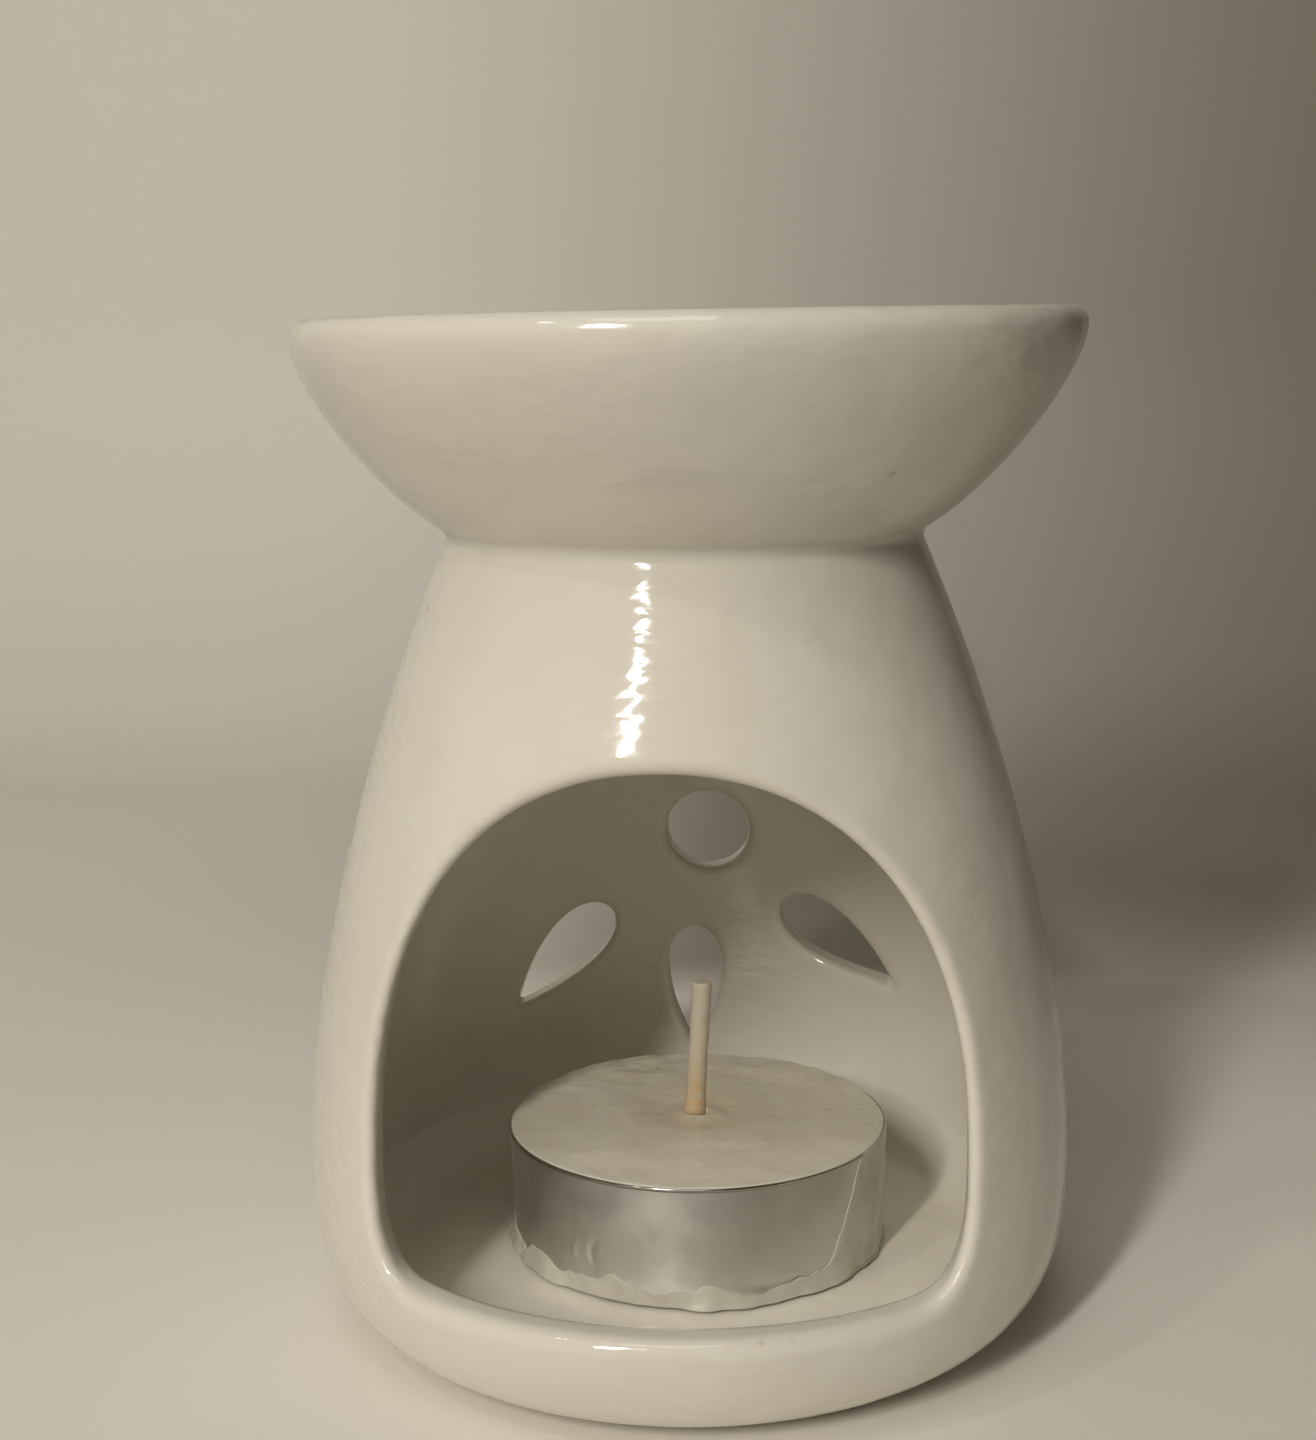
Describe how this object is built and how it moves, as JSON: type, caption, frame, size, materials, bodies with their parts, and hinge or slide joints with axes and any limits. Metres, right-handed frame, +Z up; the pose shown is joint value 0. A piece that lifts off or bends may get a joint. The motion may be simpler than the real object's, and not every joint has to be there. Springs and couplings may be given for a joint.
{
  "type": "wax warmer pot",
  "caption": "Small glazed ceramic wax warmer: a pear-shaped fire chamber with an arched opening, a shallow melting dish on top and a tealight inside.",
  "frame": {"origin": "centre of the foot, in the plane that the pot stands on", "axes": "+Z up along the pot's axis, -Y out through the arched opening, +X to the right seen from the front"},
  "size_m": [0.0748, 0.0748, 0.098],
  "materials": {
    "white_glaze": "glossy clear glaze over white slip-cast body",
    "aluminium": "satin rolled sheet",
    "wax": "set paraffin wax",
    "cotton": "wax-coated braided cotton",
    "tinned_steel": "thin tinned sheet"
  },
  "bodies": {
    "pot": {"fire_chamber": "white_glaze", "melting_dish": "white_glaze"},
    "tealight": {"tealight_cup": "aluminium"},
    "candle": {"candle_wax": "wax", "wick": "cotton", "wick_sustainer": "tinned_steel"}
  },
  "joints": [
    {"name": "tealight_slide", "type": "slide", "parent": "pot", "child": "tealight", "axis": [0, -0.891, 0.454], "range_m": [0, 0.07]},
    {"name": "candle_lift", "type": "slide", "parent": "tealight", "child": "candle", "axis": [0, 0, 1], "range_m": [0, 0.013]}
  ]
}
